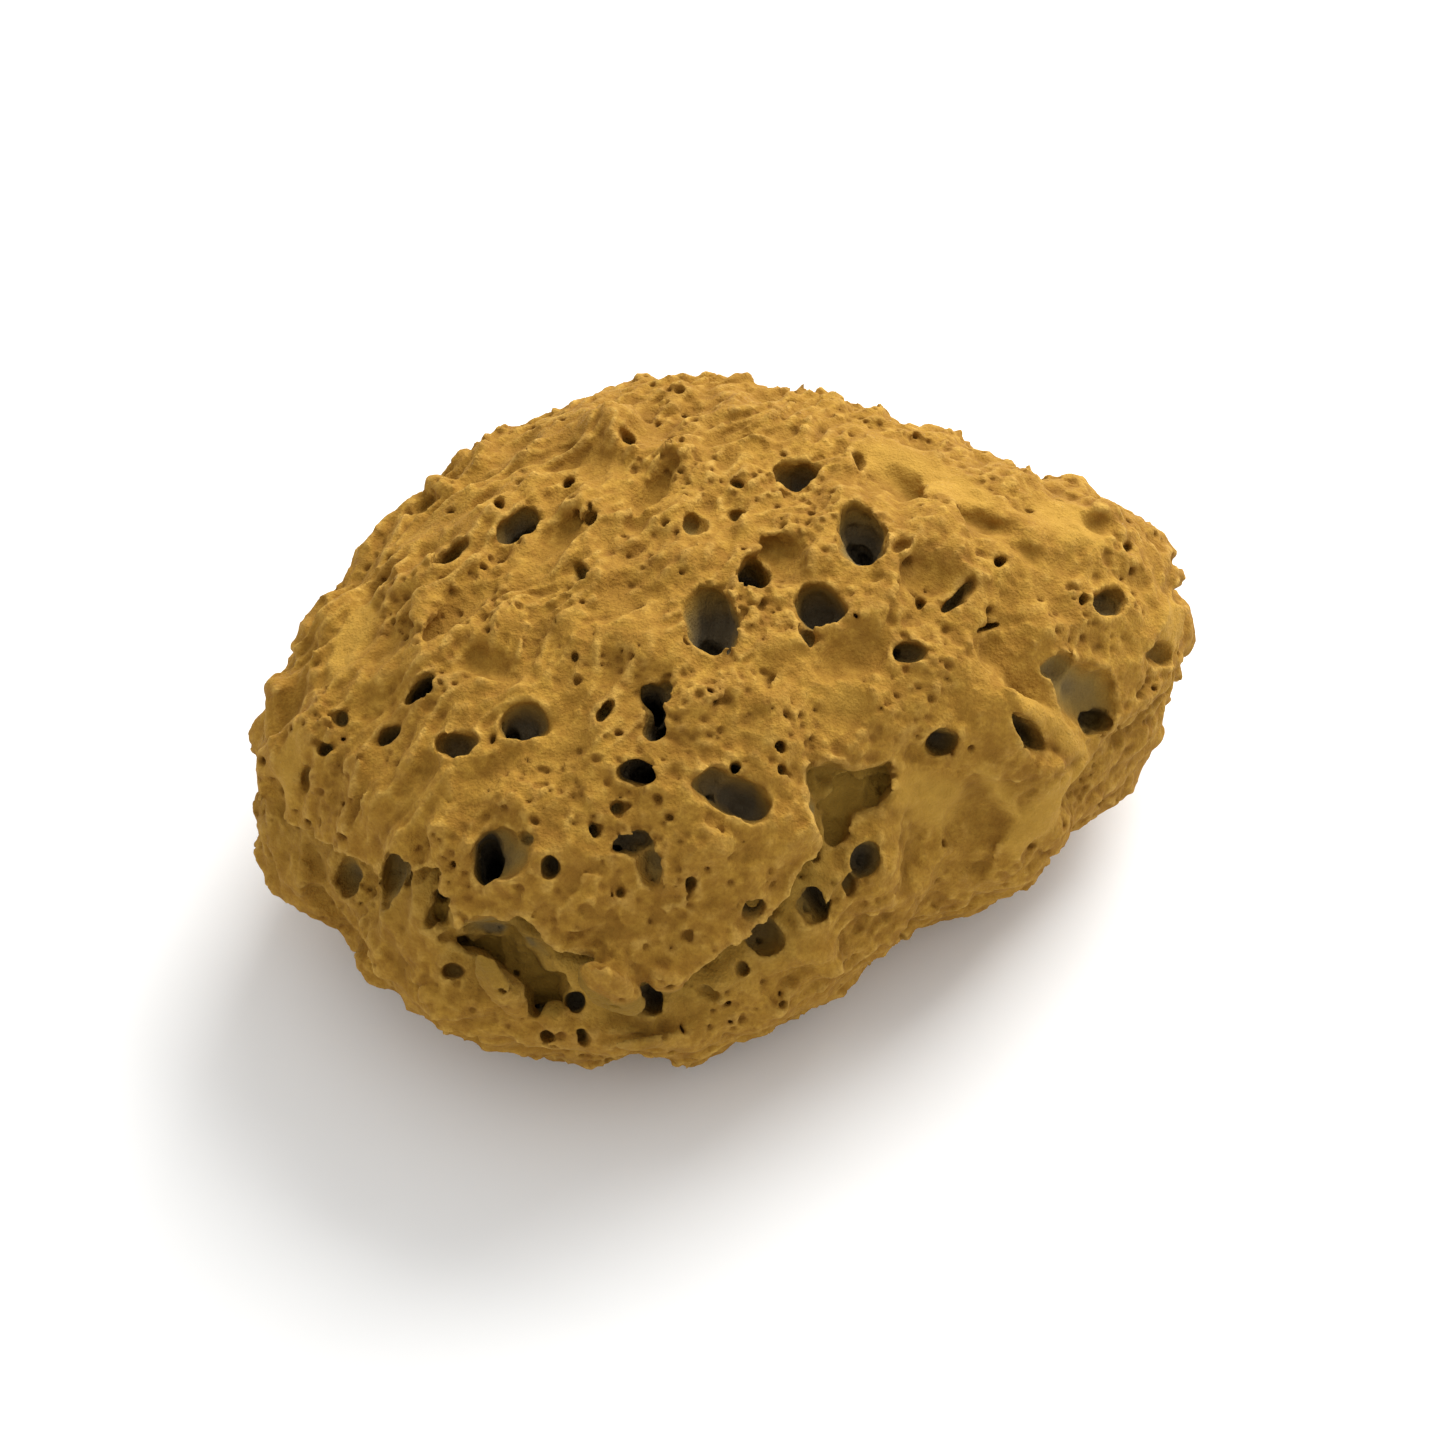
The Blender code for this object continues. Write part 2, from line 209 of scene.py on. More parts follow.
bpy.ops.mesh.primitive_ico_sphere_add(subdivisions=7, radius=1.0)
ball = bpy.context.object
ball_points = np.array([vertex.co.normalized() for vertex in ball.data.vertices])
ball_faces = np.array([face.vertices for face in ball.data.polygons], dtype=np.uint32)
bpy.data.objects.remove(ball, do_unlink=True)

whole_skin = skin_points(ball_points, with_ledge=False)
ledged_skin = skin_points(ball_points, with_ledge=True)
print("body in mm:", np.ptp(whole_skin, axis=0).round(1))

# %% [markdown]
# ## From skin to volume
# A level set is a block of numbers that says, at each point of a grid, how far away the skin is:
# below zero inside and above zero outside. Two such blocks are joined by taking the smaller
# number at each point, and one is cut from the other with the larger number, so carving a
# thousand holes is easy. The skin is read at every third point and the rest is filled in with
# smooth curves, which is quicker and leaves no facets.

# %% Turn the skin into a block of distances
GRID = 0.42
COARSE = 3
ROOM = 2.5
DEEPEST = 20.0

step = GRID * COARSE
solid_low, solid_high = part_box("sponge")
first = np.floor((np.array(solid_low) / MM - ROOM) / step).astype(int)
last = np.ceil((np.array(solid_high) / MM + ROOM) / step).astype(int)
counts = last - first + 1
axes = [
    ((start * COARSE + np.arange((count - 1) * COARSE + 1)) * GRID).astype(np.float32)
    for start, count in zip(first, counts)
]


def curve_reading(places):
    """The first of four neighbours round each place between even rows, and the share of each."""
    base = np.floor(places).astype(int)
    part = places - base
    taps = (
        (-part + 2.0 * part**2 - part**3) / 2.0,
        (2.0 - 5.0 * part**2 + 3.0 * part**3) / 2.0,
        (part + 4.0 * part**2 - 3.0 * part**3) / 2.0,
        (part**3 - part**2) / 2.0,
    )
    return base - 1, np.column_stack(taps).astype(np.float32)


def spread(values, readings):
    """Reads a coarse block at the points of a finer one, one direction after the other."""
    for side in (2, 1, 0):
        base, taps = readings[side]
        window = [slice(None)] * 3
        window[side] = slice(base[0], base[-1] + 4)
        rows = np.moveaxis(values[tuple(window)], side, 0)
        flat = np.ascontiguousarray(rows).reshape(len(rows), -1)
        read = np.empty((len(base), flat.shape[1]), np.float32)
        for number, (start, shares) in enumerate(zip(base - base[0], taps)):
            np.dot(shares, flat[start : start + 4], out=read[number])
        values = np.moveaxis(read.reshape((len(base),) + rows.shape[1:]), 0, side)
    return np.ascontiguousarray(values)


def distance_block(points, faces):
    """The distance to a closed mesh on the fine grid."""
    level_set = openvdb.FloatGrid.createLevelSetFromPolygons(
        points.astype(np.float32),
        triangles=faces,
        transform=openvdb.createLinearTransform(voxelSize=step),
        exBandWidth=4.0,
        inBandWidth=DEEPEST / step,
    )
    coarse = np.empty(counts, np.float32)
    level_set.copyToArray(coarse, ijk=tuple(int(value) for value in first))
    readings = [curve_reading(np.arange(len(axis)) / COARSE + 1.0) for axis in axes]
    return spread(np.pad(coarse, (1, 2), mode="edge"), readings)


skin = distance_block(whole_skin, ball_faces)
print("grid of", skin.shape, "points,", round(skin.size / 1e6, 1), "million")

# %% [markdown]
# ## Tools for waves and balls
# Random numbers on a coarse lattice, joined with smooth curves, make waves of any size. Other
# waves are drawn on the plan or round the sides, so that they can be long one way and short the
# other. Holes, knobs and bare patches are all stretched balls, set on the skin along the line of
# sight, so that they can be placed as the camera sees them.

# %% Make waves
WHOLE = (slice(None), slice(None), slice(None))
RING_STEPS = 720
RING_RADIUS = 60.0

plan_x, plan_y = np.meshgrid(axes[0], axes[1], indexing="ij")
bearings = np.degrees(np.arctan2(plan_y, plan_x)) % 360.0
heights = axes[2][None, None, :]
SWAY_SIZE, SWAY = 13.0, 4.0


def wave_lattice(sizes, seed):
    """Random heights on a lattice, with what reads them at the points of the fine grid."""
    chance = np.random.default_rng(seed)
    places = [(axis - axis[0]) / size + 1.0 for axis, size in zip(axes, sizes)]
    numbers = [int(place[-1]) + 3 for place in places]
    values = chance.uniform(-1.0, 1.0, numbers).astype(np.float32)
    return values, [curve_reading(place) for place in places]


def read_waves(lattice, cuts=WHOLE):
    values, readings = lattice
    return spread(values, [(base[cut], taps[cut]) for (base, taps), cut in zip(readings, cuts)])


def waves_on_plan(one, other, shift):
    spots = np.column_stack((one.ravel(), other.ravel(), np.full(one.size, shift)))
    return waves(spots, 1.0).reshape(one.shape)


sway = SWAY * waves_on_plan(plan_x / SWAY_SIZE, plan_y / SWAY_SIZE, 9.2)


def plan_waves(bearing, length, width, shift):
    """Swaying waves on the plan that are longer along one bearing, the same at every height."""
    turn = math.radians(bearing)
    lengthwise = plan_x * math.cos(turn) + plan_y * math.sin(turn)
    across = plan_y * math.cos(turn) - plan_x * math.sin(turn) + sway
    return waves_on_plan(lengthwise / length, across / width, shift)[:, :, None].astype(np.float32)


def ring_waves(length, height, shift):
    """Waves on the sides that are longer round the body than up it."""
    angles = np.radians(np.arange(RING_STEPS) * 360.0 / RING_STEPS)[:, None]
    levels = axes[2][None, :] / height + shift
    circle = RING_RADIUS / length
    spots = np.broadcast_arrays(circle * np.cos(angles), circle * np.sin(angles), levels)
    rows = waves(np.stack(spots, axis=-1).reshape(-1, 3), 1.0)
    rows = rows.reshape(RING_STEPS, -1).astype(np.float32)
    place = bearings * RING_STEPS / 360.0
    base = place.astype(int)
    part = (place - base)[:, :, None].astype(np.float32)
    return rows[base % RING_STEPS] * (1.0 - part) + rows[(base + 1) % RING_STEPS] * part


def terraced(heights_here, step):
    """Turns slopes into flat steps with short, steep edges."""
    level = heights_here / step
    rest = level - np.floor(level)
    return step * (np.floor(level) + smooth_step((rest - 0.5) * 3.0 + 0.5))


print("plan of", plan_x.shape, "columns")

# %% Place a stretched ball on the skin
LEAN_INWARD = 0.5
GRAZING = 0.5
MOUTH_SHARE = 0.9

tree = BVHTree.FromPolygons([Vector(point) for point in ledged_skin], ball_faces.tolist())


def turned(one, other, turn):
    angle = math.radians(turn)
    cosine, sine = math.cos(angle), math.sin(angle)
    return one * cosine + other * sine, other * cosine - one * sine


def stretched_ball(centre, wide, tall, deep):
    """Centre and three half sizes of a ball stretched along three directions."""
    return np.array(centre), np.column_stack((wide, tall, deep))


def on_skin(across, up, width, height, turn, depth):
    """A ball whose mouth shows the given width and height when seen from the camera."""
    target = LOOK_AT + right * across + upward * up
    sight = (target - eye).normalized()
    place, normal, _, _ = tree.ray_cast(eye, sight)
    if place is None:
        return None
    facing = min(sight.dot(normal), -GRAZING)
    one, other = turned(right, upward, turn)
    one -= sight * (one.dot(normal) / facing)
    other -= sight * (other.dot(normal) / facing)
    inward = (sight * (1.0 - LEAN_INWARD) - normal * LEAN_INWARD).normalized()
    half = MOUTH_SHARE / 2.0
    return stretched_ball(place, one * (width * half), other * (height * half), inward * depth)


def outline_place(up, side):
    """The last point that still hits the sponge, going outwards at one height of the view."""
    found = None
    for across in np.arange(0.0, 90.0, 0.25):
        target = LOOK_AT + right * (side * across) + upward * up
        place, _, _, _ = tree.ray_cast(eye, (target - eye).normalized())
        if place is not None:
            found = place
    return found


def at_outline(up, side, inset, width, height, reach):
    """A ball set this far inside the outline, for a knob or a notch that the outline shows."""
    place = outline_place(up, side)
    sight = (place - eye).normalized()
    centre = place - right * (side * inset)
    return stretched_ball(centre, right * (width / 2), upward * (height / 2), sight * reach)


print("outline on the right:", [round(value, 1) for value in outline_place(0.0, 1.0)])

# %% Carve balls into a block
RAGGED = ((4.8, 0.7), (1.8, 0.28))
ROUNDING = 0.5

ragged_lattices = [
    [(rise, wave_lattice((size,) * 3, 40 + 5 * number + side)) for number, (size, rise) in enumerate(RAGGED)]
    for side in range(3)
]


def cuts_around(centre, matrix, margin):
    """The part of the grid that holds a ball and some room round it."""
    reach = np.sqrt((matrix**2).sum(axis=1)) + margin
    cuts = []
    for axis, middle, half in zip(axes, centre, reach):
        begin = int((middle - half - axis[0]) / GRID)
        end = int((middle + half - axis[0]) / GRID) + 2
        cuts.append(slice(max(begin, 0), min(max(end, 0), len(axis))))
    return tuple(cuts)


def ball_distance(centre, matrix, cuts, ragged=1.0):
    """How far each point of the cut block is from the ball's skin, below zero inside."""
    shape = [cut.stop - cut.start for cut in cuts]
    points = np.empty([3] + shape, np.float32)
    for side in range(3):
        along_axis = [None, None, None]
        along_axis[side] = slice(None)
        points[side] = (axes[side][cuts[side]] - centre[side])[tuple(along_axis)]
        if ragged:
            for rise, lattice in ragged_lattices[side]:
                points[side] += ragged * rise * read_waves(lattice, cuts)
    inverse = np.linalg.inv(matrix).astype(np.float32)
    inside = inverse @ points.reshape(3, -1)
    measure = np.sqrt((inside**2).sum(axis=0))
    slope = np.sqrt(((inverse.T @ inside) ** 2).sum(axis=0)) + 1e-6
    return (measure * (measure - 1.0) / slope).reshape(shape)


def carve(block, distance, cuts, rounding=ROUNDING):
    """Cuts a shape away, with a rounded edge."""
    solid, away = block[cuts], -distance
    near = np.maximum(rounding - np.abs(solid - away), 0.0)
    block[cuts] = np.maximum(solid, away) + near**2 / (4.0 * rounding)


def join(block, distance, cuts, rounding=ROUNDING):
    """Adds a shape, with a rounded seam."""
    solid = block[cuts]
    near = np.maximum(rounding - np.abs(solid - distance), 0.0)
    block[cuts] = np.minimum(solid, distance) - near**2 / (4.0 * rounding)


print("balls push in and out by up to", sum(rise for size, rise in RAGGED), "mm")

# %% [markdown]
# ## Relief
# Dried felt isn't lumpy like bread: it has long soft cords on the crown, folds that run round the
# sides, and torn layers with crisp steps low down, while some patches have worn smooth. Each is a
# set of waves with a mask that says where it belongs.

# %% Mark the smooth patches
BARE_PATCHES = {
    "yellow saddle": (19.5, 3, 10, 9, 20, 5),
    "bright saddle": (4, -2, 8, 4, -10, 4),
    "basin": (33, -12, 15, 11, -10, 6),
    "basin rim": (44, -12, 6, 16, 35, 5),
    "right ridge": (52, -1, 7, 20, 50, 5),
    "back facet": (32, 38, 30, 9, -24, 6),
    "back shoulder": (55, 31, 20, 8, -22, 5),
    "right end": (71, 14, 7, 14, 0, 6),
    "lower right": (52, -14, 9, 34, -48, 6),
    "wall behind the tongues": (-22, -42, 22, 9, -25, 6),
    "left shoulder": (-58, 12, 8, 18, -30, 5),
    "left side": (-68, -10, 6, 24, -10, 5),
}

bare = np.zeros_like(skin)
for patch in BARE_PATCHES.values():
    centre, matrix = on_skin(*patch)
    cuts = cuts_around(centre, matrix, 1.0)
    inside = smooth_step(-ball_distance(centre, matrix, cuts) / 3.0)
    bare[cuts] = np.maximum(bare[cuts], inside)
print(len(BARE_PATCHES), "smooth patches, points:", int((bare > 0.5).sum()))

# %% Add waves, cords, folds and torn layers
RELIEF_SEED = 5
SOFT_WAVES = ((7.5, 0.35), (4.0, 0.22), (2.2, 0.1))
RIDGES = ((5.0, 0.5), (2.6, 0.34))
CORDS = ((52.0, 15.0, 4.6, 2.8), (44.0, 9.0, 2.6, 1.7), (58.0, 5.0, 1.5, 0.8))
DIMPLES = ((2.0, 0.5), (1.3, 0.3))
DIMPLE_START, DIMPLE_FULL = 0.08, 0.5
CRUST_PATCH = 11.0
FOLDS_ROUND = ((20.0, 5.0, 1.9), (12.0, 2.4, 0.9))
RIDGE_MIDDLE = 0.16
LAYERS = (8.0, 8.0, 6.0)
LAYER_STEP, LAYER_RISE = 0.42, 1.1
SIDE_TOP, SIDE_FADE = 20.0, 24.0
BARE_RELIEF = 0.25

side_share = 1.0 - smooth_step((heights - SIDE_TOP) / SIDE_FADE)
back_left = smooth_step(0.45 + (0.65 * plan_y - 0.75 * plan_x) / 55.0)[:, :, None]
front = smooth_step(0.5 - (plan_y - 0.25 * plan_x) / 40.0)[:, :, None]
right_side = smooth_step((plan_x - 10.0) / 30.0)[:, :, None] * side_share

relief = np.zeros_like(skin)
for number, (size, rise) in enumerate(SOFT_WAVES):
    relief += rise * read_waves(wave_lattice((size, size, size), RELIEF_SEED + number))
for number, (size, rise) in enumerate(RIDGES):
    waves_here = read_waves(wave_lattice((size, size, size), RELIEF_SEED + 10 + number))
    relief += rise * (0.3 - np.abs(waves_here))
for number, (bearing, length, width, rise) in enumerate(CORDS):
    cords = RIDGE_MIDDLE - np.abs(plan_waves(bearing, length, width, 3.3 + number))
    relief += rise * cords * (0.3 + 0.7 * back_left) * (1.0 - side_share)
for number, (length, height, rise) in enumerate(FOLDS_ROUND):
    folds = RIDGE_MIDDLE - np.abs(ring_waves(length, height, 5.1 + number))
    relief += rise * folds * side_share
layers = terraced(read_waves(wave_lattice(LAYERS, RELIEF_SEED + 40)), LAYER_STEP)
relief += LAYER_RISE * layers * side_share * front
relief *= 1.0 - (1.0 - BARE_RELIEF) * np.maximum(bare, 0.7 * right_side)
crusty = read_waves(wave_lattice((CRUST_PATCH,) * 3, RELIEF_SEED + 50))
crusty = (1.0 - bare) * smooth_step(0.65 + 0.8 * crusty) * (1.0 - 0.5 * back_left)
# Painted shade: dimples, and later the pores, get a darker orange-brown colour from this mask.
pore_shade = np.zeros_like(skin)
for number, (size, depth) in enumerate(DIMPLES):
    spots = read_waves(wave_lattice((size, size, size), RELIEF_SEED + 60 + number))
    spots = crusty * smooth_step((spots - DIMPLE_START) / (DIMPLE_FULL - DIMPLE_START))
    relief -= depth * spots
    np.maximum(pore_shade, 0.7 * spots, out=pore_shade)
skin -= relief
print("relief from", relief.min().round(2), "to", relief.max().round(2), "mm")
del relief, layers, spots

# %% [markdown]
# ## The ledge and the wall below it
# Under the ledge the wall steps back sharply, then comes forward again towards the base. Its edge
# is torn, so the edge's height gets two sizes of waves. The wall itself has upright ribs: their
# lattice is stretched along Z, so the waves come out tall and narrow.

# %% Cut the ledge
EDGE_TEAR = ((5.5, 1.5), (2.2, 0.7))
SHARP_LIP = 0.8
RIB_SIZES = (4.2, 4.2, 13.0)
RIB_RISE = 1.5
FULL_UNDERCUT = 4.0

edge = along(LEDGE, bearings)[:, :, None].astype(np.float32)
undercut = along(LEDGE_UNDERCUT, bearings)[:, :, None].astype(np.float32)
below = edge - heights
for number, (size, rise) in enumerate(EDGE_TEAR):
    below += rise * read_waves(wave_lattice((size, size, size), RELIEF_SEED + 20 + number))
# This mask marks the wall under the ledge: it shapes the ribs below and later darkens the wall's colour as
# painted shade.
wall_and_painted_shade = smooth_step(below / SHARP_LIP) * (1.0 - smooth_step((below - SHARP_LIP) / LEDGE_FADE))
skin += undercut * wall_and_painted_shade
ribs = read_waves(wave_lattice(RIB_SIZES, RELIEF_SEED + 30))
wall_and_painted_shade *= np.clip(undercut / FULL_UNDERCUT, 0.0, 1.0)
skin -= RIB_RISE * (0.3 - np.abs(ribs)) * wall_and_painted_shade
del ribs, below
print("ledge cut, wall points:", int((wall_and_painted_shade > 0.5).sum()))

# %% [markdown]
# Where layers have torn away, the skin is set back inside an outline that the camera sees, with a
# steep edge all round: a deep recess under the ledge beside a hanging tongue, a groove to its
# left, and a cove on the right.

# %% Tear out the recesses
RECESSES = {
    "front recess": (6.0, (
        (-43, -32), (-38.5, -33), (-32, -31.5), (-30, -35), (-26, -37.5), (-23.5, -39.5),
        (-24, -44), (-26, -47), (-29, -46.5), (-30, -44.5), (-31, -41.5), (-33.5, -39),
        (-36.5, -37.5), (-40, -36.5), (-44, -34.5),
    )),
    "front groove": (3.5, ((-45, -26.5), (-42, -27.5), (-41.5, -32), (-43.5, -33.5), (-46, -31))),
    "cove": (3.5, (
        (13, -7), (26.5, -6.5), (27, -10), (25, -14), (21.5, -15.5), (18, -20.5), (16.5, -20),
        (14.5, -14), (12.5, -10),
    )),
}
RECESS_TEAR = ((3.2, 0.9), (1.4, 0.35))
RECESS_EDGE = 1.1


def seen_at(cuts):
    """Where each grid point of the cut shows for the camera, across and up in millimetres."""
    away = [0.0, 0.0, 0.0]
    for side in range(3):
        line = [None, None, None]
        line[side] = slice(None)
        gap = (axes[side][cuts[side]] - eye[side])[tuple(line)]
        for number, direction in enumerate((right, upward, forward)):
            away[number] = away[number] + gap * direction[side]
    return away[0] / away[2] * LOOK_FROM, away[1] / away[2] * LOOK_FROM


def outline_distance(corners, across, up):
    """How far each seen place is from a closed outline, below zero inside it."""
    nearest = np.full(across.shape, 1e6, np.float32)
    inside = np.zeros(across.shape, bool)
    for (x0, y0), (x1, y1) in zip(corners, corners[1:] + corners[:1]):
        run, rise = x1 - x0, y1 - y0
        part = np.clip(((across - x0) * run + (up - y0) * rise) / (run**2 + rise**2), 0.0, 1.0)
        gap = np.hypot(across - x0 - part * run, up - y0 - part * rise)
        nearest = np.minimum(nearest, gap)
        if rise:
            crossing = x0 + (up - y0) * (run / rise)
            inside ^= ((up > y0) != (up > y1)) & (across < crossing)
    return np.where(inside, -nearest, nearest)


def tear_out(depth, corners):
    middle = [sum(values) / len(corners) for values in zip(*corners)]
    reach = max(math.dist(middle, corner) for corner in corners) + 3.0
    centre, _ = on_skin(*middle, 1.0, 1.0, 0.0, 1.0)
    cuts = cuts_around(centre, np.eye(3) * reach, 0.0)
    distance = outline_distance(corners, *seen_at(cuts))
    for number, (size, rise) in enumerate(RECESS_TEAR):
        distance += rise * read_waves(wave_lattice((size,) * 3, RELIEF_SEED + 70 + number), cuts)
    torn = smooth_step(-distance / RECESS_EDGE)
    skin[cuts] += depth * torn
    # The torn recesses join the same mask, so they get the painted shade too.
    wall_and_painted_shade[cuts] = np.maximum(wall_and_painted_shade[cuts], torn)
    return int((torn > 0.5).sum())


for name, (depth, corners) in RECESSES.items():
    print(name, "takes", tear_out(depth, corners), "grid points")

# %% [markdown]
# ## Pits, knobs and tongues
# Every larger hole is a stretched ball set on the skin along the line of sight: a mouth that is
# wide and shallow, and for the black ones a narrower, deeper canal inside it. A soft random push
# makes their edges ragged. Knobs and tongues are the same balls, added instead of cut away.

# %% List the pits
PITS = {
    "low left mouth": (-34.5, -21, 10, 9.5, 0, 5.5),
    "low left canal": (-36.5, -21, 5, 9, 0, 18),
    "centre egg": (-1.5, 16, 8.5, 10.5, -5, 9),
    "centre egg floor": (-2.5, 13.5, 6, 5, 0, 13),
    "upper centre canal": (6, 23.5, 6, 6, 0, 15),
    "upper right": (22, 30, 8, 8.5, 0, 9),
    "upper right canal": (22, 28, 6, 4.5, -20, 15),
    "right of centre": (15.5, 18, 7.5, 7, 0, 9),
    "right of centre tail": (14, 13.5, 3, 4, 0, 5),
    "top right": (12, 38, 8, 5, 25, 7),
    "top triangle": (-4, 31, 4.5, 4.5, 0, 4),
    "left crescent": (-31.5, 30.5, 8.5, 5, 33, 6),
    "left crescent canal": (-31, 30, 6.5, 3.4, 33, 13),
    "left slit": (-42, 27, 6.5, 2.5, 27, 8),
    "left deep slit": (-48, 5, 7, 3, 52, 11),
    "left low slit": (-52, -2, 5, 3, 38, 8),
    "left bowl": (-41.5, -3.5, 7, 5, 5, 7),
    "left of centre": (-30.5, -0.5, 8, 6.5, 20, 7),
    "left of centre canal": (-32.5, -1, 4, 4.5, 0, 12),
    "chimney top": (-11, 3.5, 4.5, 4.5, 0, 15),
    "chimney foot": (-10.5, -0.5, 4, 6, 0, 18),
    "black crescent": (-13, -8, 5.5, 4, -20, 13),
    "grey hall": (3, -12, 10.5, 7, -15, 8),
    "grey hall left": (-1, -10, 6, 5.5, 0, 6),
    "low centre arm": (-13.5, -19.5, 8, 4, 5, 6),
    "low centre stem": (-11, -23, 4, 7.5, 5, 5),
    "right round": (29.5, 11, 6, 4.5, 0, 7),
    "right heart": (35, -3.5, 5.5, 4.5, 0, 8),
    "right slit": (48.5, -2.5, 7.5, 3, -62, 10),
    "right hall": (58, 4, 12, 12, -30, 6),
    "right hall floor": (59, -0.5, 6, 4.5, 10, 9),
    "right hall side": (53, 8, 6, 5.5, 0, 5),
    "far right": (61, 19, 5.5, 5, 0, 6),
    "far right low": (69, 10.5, 5, 5, 0, 4),
    "right cleft": (37.5, 19.5, 9, 2.5, 57, 7),
    "square pit": (23, -22, 5.5, 5.5, 0, 8),
    "tall right": (14.5, -29, 7, 4, -70, 10),
    "low hall": (6.5, -33, 9.5, 6, -60, 5),
    "low hall canal": (5, -30, 4.5, 3, 40, 9),
    "low left bowl": (-51.5, -25, 5, 7, -10, 7),
    "wall bowl": (-59, -25, 5, 7, -15, 5),
    "under the ledge": (-36, -33, 9.5, 4.5, 5, 7),
    "under the ledge right": (-29.5, -36, 9.5, 4, -30, 4),
    "under the flap": (-11, -43, 4, 5.5, 0, 7),
    "wall hole": (-22.5, -44, 4, 4, 0, 5),
    "cove side": (17.5, -16, 9, 4, -70, 6),
}
DISHES = {
    "upper centre halo": (9.5, 24.5, 8, 8, 15, 2.6),
    "top dish": (-10.5, 45.5, 10.5, 5, 8, 2.6),
    "top left dish": (-18.5, 40, 8, 5, 15, 2.6),
    "centre left dish": (-15.5, 21.5, 8, 4.5, 55, 2),
    "top groove": (-10, 36.5, 12, 3.5, 58, 3),
    "top groove foot": (-13, 31, 5, 3, 20, 2.4),
    "basin upper": (34.5, -10, 11, 7, 0, 2.6),
    "basin lower": (39.5, -16.5, 10.5, 9, 0, 2.6),
    "left wall groove": (-64, -22.5, 10, 3.5, -72, 3.4),
    "left wall slot": (-70, -12, 8, 3.5, -75, 3),
    "left wall hollow": (-57.5, -34, 9, 4, -35, 3.4),
    "left wall long hollow": (-61, -30, 12, 3, -50, 2.8),
    "left groove": (-46.5, -8, 7, 4, 60, 2.6),
    "shoulder dish": (-47.5, 31, 12, 5, 25, 3),
    "left dish": (-35.5, 9, 9, 5, -10, 2.2),
    "back facet fold": (27.5, 37.5, 13, 4, -38, 2.6),
    "cleft basin": (34, 22, 13, 8, -10, 2.8),
    "smooth hollow": (19, 2, 8, 12, -20, 2.6),
    "hollow above the saddle": (20, 11, 13, 8, 20, 2.6),
    "pitted field foot": (34, -5, 10, 4, 0, 2.2),
    "right end dish": (53.5, 17.5, 5, 4, 0, 2),
    "upper right furrow": (42, 31, 12, 3, -14, 2.4),
    "upper right dimple": (59, 31, 6, 3, -10, 2.4),
    "far furrow": (47, 27, 8, 3, -30, 2.4),
    "left diagonal furrow": (-40, 18, 20, 3.5, 42, 2.6),
    "left diagonal furrow low": (-52, 12, 14, 3.5, 44, 2.4),
    "upper diagonal furrow": (-27, 27, 16, 3, 40, 2.2),
    "furrow by the slit": (-36, -8, 14, 3, 36, 2),
}
NOTCHES = {
    "narrow notch": (24.7, 1, 0.2, 5, 2.2, 9),
    "round notch": (19.8, 1, -0.6, 6, 4.6, 9),
    "low notch": (5.0, 1, -0.4, 3, 3.5, 7),
    "left notch": (9.5, -1, -0.6, 4, 4.5, 7),
}
OUTLINE_KNOBS = {
    "right end knob": (14.5, 1, 1.5, 6, 9, 6),
    "left knob": (4.6, -1, 1.0, 3.4, 3.6, 4),
    "upper left knob": (14.2, -1, 1.4, 4, 3.6, 4),
}
PROUD = {
    "shoulder knob": (-43.5, 36.5, 6, 4, 0, 3),
    "right ridge": (51, -1, 4, 17, 50, 1.6),
}
FLAPS = {
    "tongue": (-34.5, -42, 4, 13, 38, 1.5),
    "small tongue": (-26, -47, 5, 6, 30, 1.8),
    "flap": (-17.5, -42, 12, 5.5, -32, 2.6),
    "right lappet": (-8, -41, 6, 4, -20, 2),
    "bottom lip": (-8, -50, 18, 3, 0, 1.4),
}
print(len(PITS), "pits and canals,", len(PROUD), "knobs")

# %% [markdown]
# Smaller holes are too fine for the solid and are only made here.

